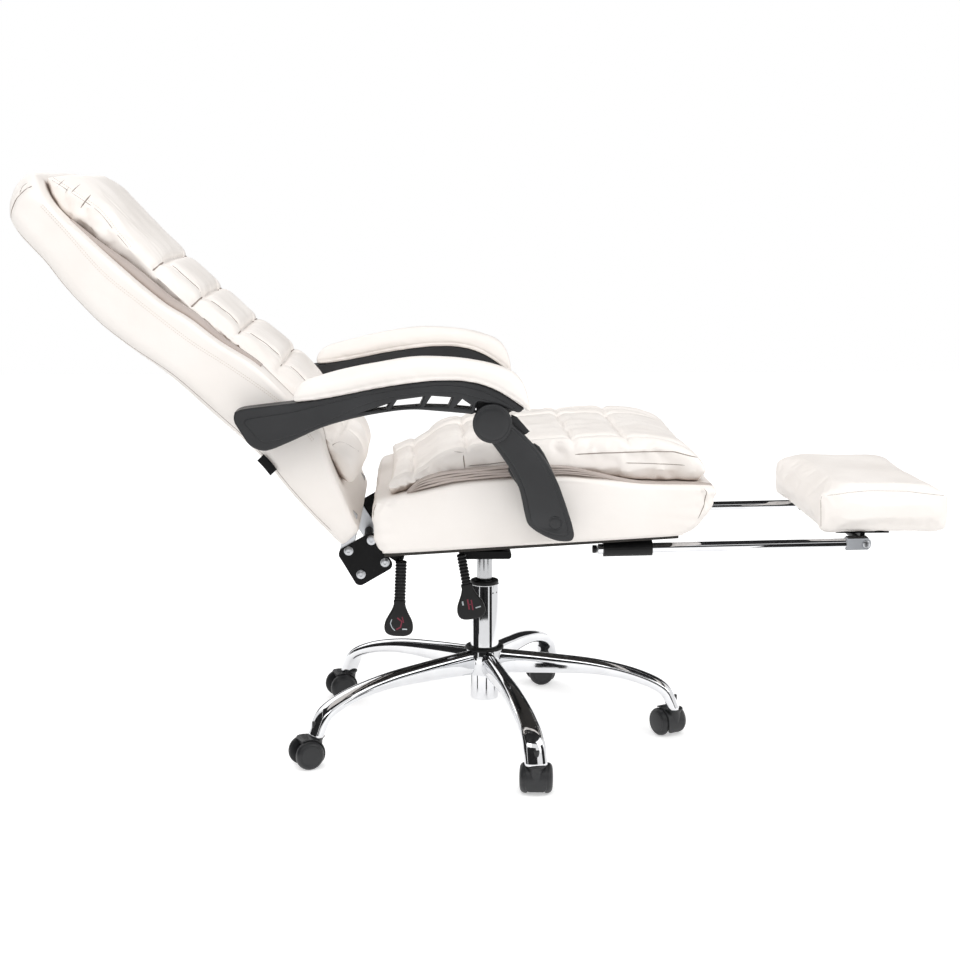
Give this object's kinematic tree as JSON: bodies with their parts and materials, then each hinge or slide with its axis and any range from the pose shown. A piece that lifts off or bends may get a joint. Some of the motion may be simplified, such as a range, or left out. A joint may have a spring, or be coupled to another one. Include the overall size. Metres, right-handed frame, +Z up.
{
  "type": "reclining office chair with footrest",
  "caption": "Upholstered swivel chair lying back on a star base with casters, with hinged arms and a pull-out footrest.",
  "frame": {"origin": "on the floor, on the axis of the gas column", "axes": "+X towards the footrest, +Y to the sitter's left, +Z up"},
  "size_m": [1.5433, 0.683, 1.01],
  "materials": {
    "leather": "warm white grained artificial leather over foam",
    "black_plastic": "satin black moulded plastic",
    "soft_black": "matt soft black plastic",
    "chrome": "polished chrome",
    "steel": "zinc-plated steel",
    "black_steel": "black powder coat",
    "board": "dark covered board"
  },
  "bodies": {
    "base": {"star_base": "chrome", "hub_ring": "soft_black", "column_tube": "chrome", "column_collar": "soft_black"},
    "column_rod": {"piston_rod": "chrome", "thrust_bearing": "steel"},
    "seat": {"gas_cylinder": "chrome", "mechanism": "black_steel", "seat_board": "board", "seat_base": "leather", "seat_cushion": "leather", "lock_tube": "black_steel", "seat_hinge_plate_left": "black_steel", "seat_hinge_plate_right": "black_steel", "rail_guide_left": "soft_black", "rail_guide_right": "soft_black"},
    "back": {"back_hinge_plate_left": "black_steel", "back_hinge_plate_right": "black_steel", "recline_pin_left": "steel", "recline_pin_right": "steel", "back_cross_tube_upper": "black_steel", "back_cross_tube_lower": "black_steel", "back_bar_left": "steel", "back_bar_right": "steel", "back_shell": "leather", "back_cushion": "leather"},
    "footrest_slider": {"footrest_rail_left": "chrome", "footrest_rail_right": "chrome", "footrest_rod": "steel"},
    "footrest": {"footrest_hinge_plate": "black_steel", "footrest_pad": "leather"},
    "arm_left": {"arm_frame_left": "black_plastic", "arm_pad_left": "leather"},
    "strut_left": {"arm_strut_left": "black_plastic", "arm_disc_left": "black_plastic"},
    "arm_right": {"arm_frame_right": "black_plastic", "arm_pad_right": "leather"},
    "strut_right": {"arm_strut_right": "black_plastic", "arm_disc_right": "black_plastic"},
    "lift_lever": {"lift_lever_rod": "black_steel", "lift_lever_sleeve": "soft_black", "lift_lever_paddle": "soft_black"},
    "recline_lever": {"recline_lever_rod": "black_steel", "recline_lever_sleeve": "soft_black", "recline_lever_paddle": "soft_black"},
    "caster_1": {"caster_hood_1": "black_plastic"},
    "wheel_1_left": {"caster_wheel_1_left": "black_plastic"},
    "wheel_1_right": {"caster_wheel_1_right": "black_plastic"},
    "caster_2": {"caster_hood_2": "black_plastic"},
    "wheel_2_left": {"caster_wheel_2_left": "black_plastic"},
    "wheel_2_right": {"caster_wheel_2_right": "black_plastic"},
    "caster_3": {"caster_hood_3": "black_plastic"},
    "wheel_3_left": {"caster_wheel_3_left": "black_plastic"},
    "wheel_3_right": {"caster_wheel_3_right": "black_plastic"},
    "caster_4": {"caster_hood_4": "black_plastic"},
    "wheel_4_left": {"caster_wheel_4_left": "black_plastic"},
    "wheel_4_right": {"caster_wheel_4_right": "black_plastic"},
    "caster_5": {"caster_hood_5": "black_plastic"},
    "wheel_5_left": {"caster_wheel_5_left": "black_plastic"},
    "wheel_5_right": {"caster_wheel_5_right": "black_plastic"}
  },
  "joints": [
    {"name": "seat_swivel", "type": "hinge", "parent": "base", "child": "column_rod", "pos_m": [0, 0, 0.15], "axis": [0, 0, 1], "continuous": true},
    {"name": "gas_lift", "type": "slide", "parent": "column_rod", "child": "seat", "axis": [0, 0, 1], "range_m": [-0.055, 0.045]},
    {"name": "recline", "type": "hinge", "parent": "seat", "child": "back", "pos_m": [-0.194, 0, 0.396], "axis": [0, 1, 0], "range_deg": [0, 30]},
    {"name": "footrest_slide", "type": "slide", "parent": "seat", "child": "footrest_slider", "axis": [0.9999, 0, 0.0157], "range_m": [-0.3, 0]},
    {"name": "footrest_flip", "type": "hinge", "parent": "footrest_slider", "child": "footrest", "pos_m": [0.633, 0, 0.382], "axis": [0, 1, 0], "range_deg": [0, 180]},
    {"name": "arm_hinge_left", "type": "hinge", "parent": "back", "child": "arm_left", "pos_m": [-0.366, 0.265, 0.592], "axis": [0, 1, 0], "range_deg": [-25.2, 0]},
    {"name": "strut_hinge_left", "type": "hinge", "parent": "seat", "child": "strut_left", "pos_m": [0.101, 0.265, 0.446], "axis": [0, 1, 0], "range_deg": [0, 38]},
    {"name": "arm_hinge_right", "type": "hinge", "parent": "back", "child": "arm_right", "pos_m": [-0.366, -0.265, 0.592], "axis": [0, 1, 0], "range_deg": [-25.2, 0]},
    {"name": "strut_hinge_right", "type": "hinge", "parent": "seat", "child": "strut_right", "pos_m": [0.101, -0.265, 0.446], "axis": [0, 1, 0], "range_deg": [0, 38]},
    {"name": "lift_lever", "type": "hinge", "parent": "seat", "child": "lift_lever", "pos_m": [-0.0467, -0.0606, 0.37], "axis": [-1, 0, 0], "range_deg": [0, 5], "stiffness_Nm_per_rad": 2, "springref_deg": -2.86},
    {"name": "recline_lever", "type": "hinge", "parent": "seat", "child": "recline_lever", "pos_m": [-0.145, -0.1883, 0.37], "axis": [-1, 0, 0], "range_deg": [0, 10], "stiffness_Nm_per_rad": 2, "springref_deg": -2.86},
    {"name": "caster_swivel_1", "type": "hinge", "parent": "base", "child": "caster_1", "pos_m": [0.33826, -0.03436, 0.06], "axis": [0, 0, 1], "continuous": true},
    {"name": "wheel_spin_1_left", "type": "hinge", "parent": "caster_1", "child": "wheel_1_left", "pos_m": [0.34743, -0.00944, 0.025], "axis": [0.866, 0.5, 0], "continuous": true},
    {"name": "wheel_spin_1_right", "type": "hinge", "parent": "caster_1", "child": "wheel_1_right", "pos_m": [0.31209, -0.02984, 0.025], "axis": [0.866, 0.5, 0], "continuous": true},
    {"name": "caster_swivel_2", "type": "hinge", "parent": "base", "child": "caster_2", "pos_m": [0.1372, 0.31109, 0.06], "axis": [0, 0, 1], "continuous": true},
    {"name": "wheel_spin_2_left", "type": "hinge", "parent": "caster_2", "child": "wheel_2_left", "pos_m": [0.11692, 0.32822, 0.025], "axis": [-0.1736, 0.9848, 0], "continuous": true},
    {"name": "wheel_spin_2_right", "type": "hinge", "parent": "caster_2", "child": "wheel_2_right", "pos_m": [0.12401, 0.28804, 0.025], "axis": [-0.1736, 0.9848, 0], "continuous": true},
    {"name": "caster_swivel_3", "type": "hinge", "parent": "base", "child": "caster_3", "pos_m": [-0.25346, 0.22662, 0.06], "axis": [0, 0, 1], "continuous": true},
    {"name": "wheel_spin_3_left", "type": "hinge", "parent": "caster_3", "child": "wheel_3_left", "pos_m": [-0.27641, 0.23998, 0.025], "axis": [-0.342, 0.9397, 0], "continuous": true},
    {"name": "wheel_spin_3_right", "type": "hinge", "parent": "caster_3", "child": "wheel_3_right", "pos_m": [-0.26246, 0.20164, 0.025], "axis": [-0.342, 0.9397, 0], "continuous": true},
    {"name": "caster_swivel_4", "type": "hinge", "parent": "base", "child": "caster_4", "pos_m": [-0.29385, -0.17103, 0.06], "axis": [0, 0, 1], "continuous": true},
    {"name": "wheel_spin_4_left", "type": "hinge", "parent": "caster_4", "child": "wheel_4_left", "pos_m": [-0.31788, -0.15972, 0.025], "axis": [-0.4226, 0.9063, 0], "continuous": true},
    {"name": "wheel_spin_4_right", "type": "hinge", "parent": "caster_4", "child": "wheel_4_right", "pos_m": [-0.30064, -0.1967, 0.025], "axis": [-0.4226, 0.9063, 0], "continuous": true},
    {"name": "caster_swivel_5", "type": "hinge", "parent": "base", "child": "caster_5", "pos_m": [0.07185, -0.33232, 0.06], "axis": [0, 0, 1], "continuous": true},
    {"name": "wheel_spin_5_left", "type": "hinge", "parent": "caster_5", "child": "wheel_5_left", "pos_m": [0.09339, -0.31679, 0.025], "axis": [0.9976, -0.0698, 0], "continuous": true},
    {"name": "wheel_spin_5_right", "type": "hinge", "parent": "caster_5", "child": "wheel_5_right", "pos_m": [0.05269, -0.31394, 0.025], "axis": [0.9976, -0.0698, 0], "continuous": true}
  ],
  "couplings": [
    {"joint": "arm_hinge_left", "follows": "recline", "ratio": -0.838},
    {"joint": "arm_hinge_right", "follows": "recline", "ratio": -0.838},
    {"joint": "strut_hinge_left", "follows": "recline", "ratio": 1.264},
    {"joint": "strut_hinge_right", "follows": "recline", "ratio": 1.264},
    {"joint": "footrest_flip", "follows": "footrest_slide", "rad_per_m": -10.472}
  ]
}
